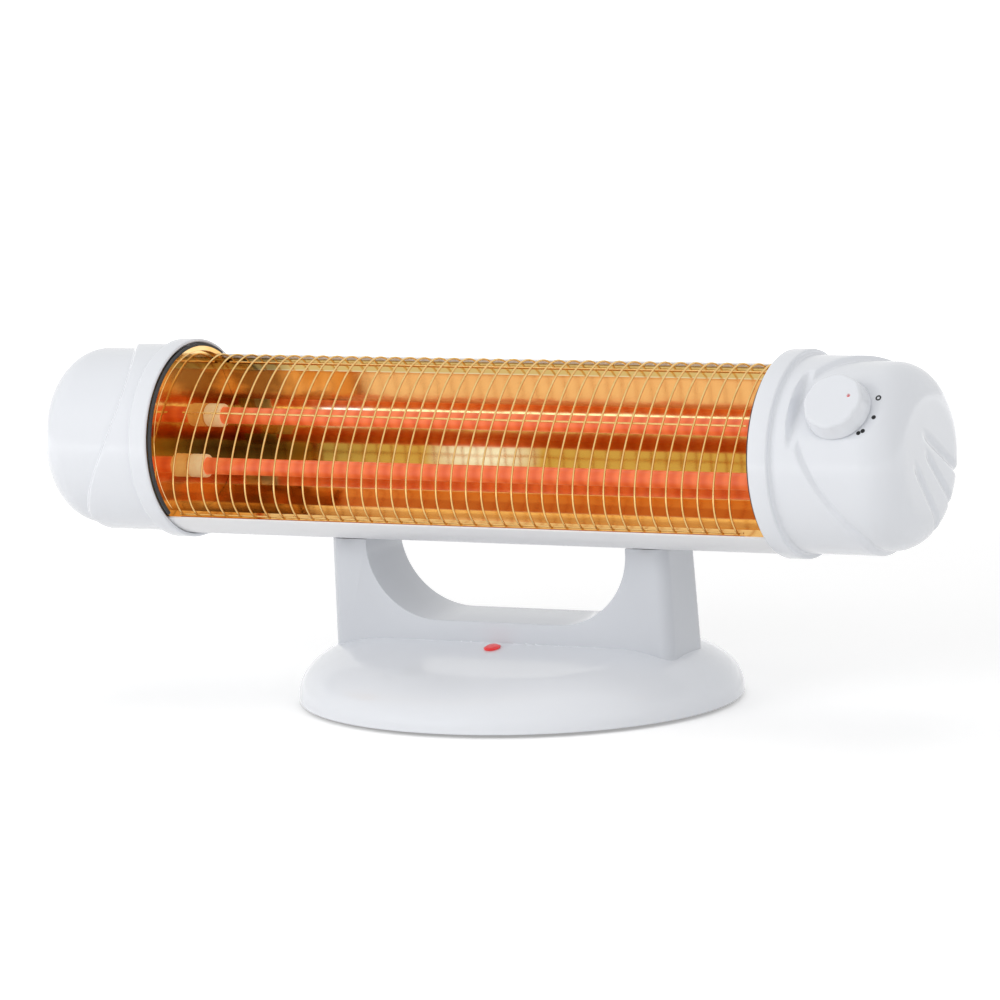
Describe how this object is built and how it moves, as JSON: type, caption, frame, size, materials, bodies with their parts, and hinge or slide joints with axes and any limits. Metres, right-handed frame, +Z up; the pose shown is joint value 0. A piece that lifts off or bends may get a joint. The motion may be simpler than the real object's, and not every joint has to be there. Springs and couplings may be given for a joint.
{
  "type": "halogen heater",
  "caption": "Tabletop halogen heater: drum-shaped head with two quartz tubes, gold reflector, wire grille and a rotary knob, tilting on a U-shaped pedestal over an oval base.",
  "frame": {"origin": "on the floor under the middle of the oval base", "axes": "+X along the drum towards the knob end, +Y to the back (the mouth faces -Y), +Z up"},
  "size_m": [0.568, 0.216, 0.2144],
  "materials": {
    "white_plastic": "glossy moulded plastic",
    "grey_plastic": "satin light grey plastic",
    "black_plastic": "matt black plastic",
    "dark_rubber": "dark grey rubber",
    "white_paint": "satin white paint on steel sheet",
    "gold_reflector": "polished gold-coloured sheet",
    "gold_wire": "bright plated wire",
    "quartz_glass": "glowing frosted quartz",
    "heating_winding": "glowing resistance wire",
    "cream_ceramic": "unglazed cream ceramic",
    "plated_steel": "zinc-plated steel",
    "brass": "turned brass",
    "red_lens": "clear red plastic"
  },
  "bodies": {
    "stand": {"base_cover": "white_plastic", "bottom_plate": "black_plastic", "pilot_lamp_lens": "red_lens", "pilot_lamp_holder": "black_plastic", "cord_sleeve": "dark_rubber", "tip_switch_body": "black_plastic", "tip_spring": "plated_steel", "terminal_block": "black_plastic", "cord_clamp": "black_plastic", "pedestal": "grey_plastic", "saddle_pad_left": "dark_rubber", "tilt_washer_left": "plated_steel", "tilt_screw_left": "plated_steel", "pedestal_screw_left": "plated_steel", "saddle_pad_right": "dark_rubber", "tilt_washer_right": "plated_steel", "tilt_screw_right": "plated_steel", "pedestal_screw_right": "plated_steel", "foot_front_left": "dark_rubber", "foot_front_right": "dark_rubber", "foot_rear_left": "dark_rubber", "foot_rear_right": "dark_rubber", "bottom_screw_left": "plated_steel", "bottom_screw_right": "plated_steel", "bottom_screw_rear": "plated_steel"},
    "head": {"housing_shell": "white_paint", "reflector": "gold_reflector", "wire_grille": "gold_wire", "left_end_cap": "white_plastic", "right_end_cap": "white_plastic", "rotary_switch": "black_plastic", "switch_nut": "plated_steel", "side_plate_left": "gold_reflector", "mouth_gasket_left": "dark_rubber", "tube_holder_upper_left": "cream_ceramic", "holder_ring_upper_left": "plated_steel", "element_lead_upper_left": "plated_steel", "tube_holder_lower_left": "cream_ceramic", "holder_ring_lower_left": "plated_steel", "element_lead_lower_left": "plated_steel", "cap_screw_left_top": "plated_steel", "cap_screw_left_bottom": "plated_steel", "side_plate_right": "gold_reflector", "mouth_gasket_right": "dark_rubber", "tube_holder_upper_right": "cream_ceramic", "holder_ring_upper_right": "plated_steel", "element_lead_upper_right": "plated_steel", "tube_holder_lower_right": "cream_ceramic", "holder_ring_lower_right": "plated_steel", "element_lead_lower_right": "plated_steel", "cap_screw_right_top": "plated_steel", "cap_screw_right_bottom": "plated_steel", "quartz_tube_upper": "quartz_glass", "heating_coil_upper": "heating_winding", "quartz_tube_lower": "quartz_glass", "heating_coil_lower": "heating_winding"},
    "knob": {"control_knob": "white_plastic", "knob_dot": "red_lens", "switch_shaft": "brass"},
    "plunger": {"tip_plunger": "white_plastic"}
  },
  "joints": [
    {"name": "tilt", "type": "hinge", "parent": "stand", "child": "head", "pos_m": [0, -0.02, 0.155], "axis": [1, 0, 0], "range_deg": [-10, 30]},
    {"name": "knob_turn", "type": "hinge", "parent": "head", "child": "knob", "pos_m": [0.248, -0.0583, 0.18714], "axis": [0, -0.766, 0.6428], "range_deg": [-68, 0]},
    {"name": "tip_press", "type": "slide", "parent": "stand", "child": "plunger", "axis": [0, 0, -1], "range_m": [0, 0.004], "stiffness_N_per_m": 60, "springref_m": 0.006, "deforming": ["tip_spring"]}
  ]
}
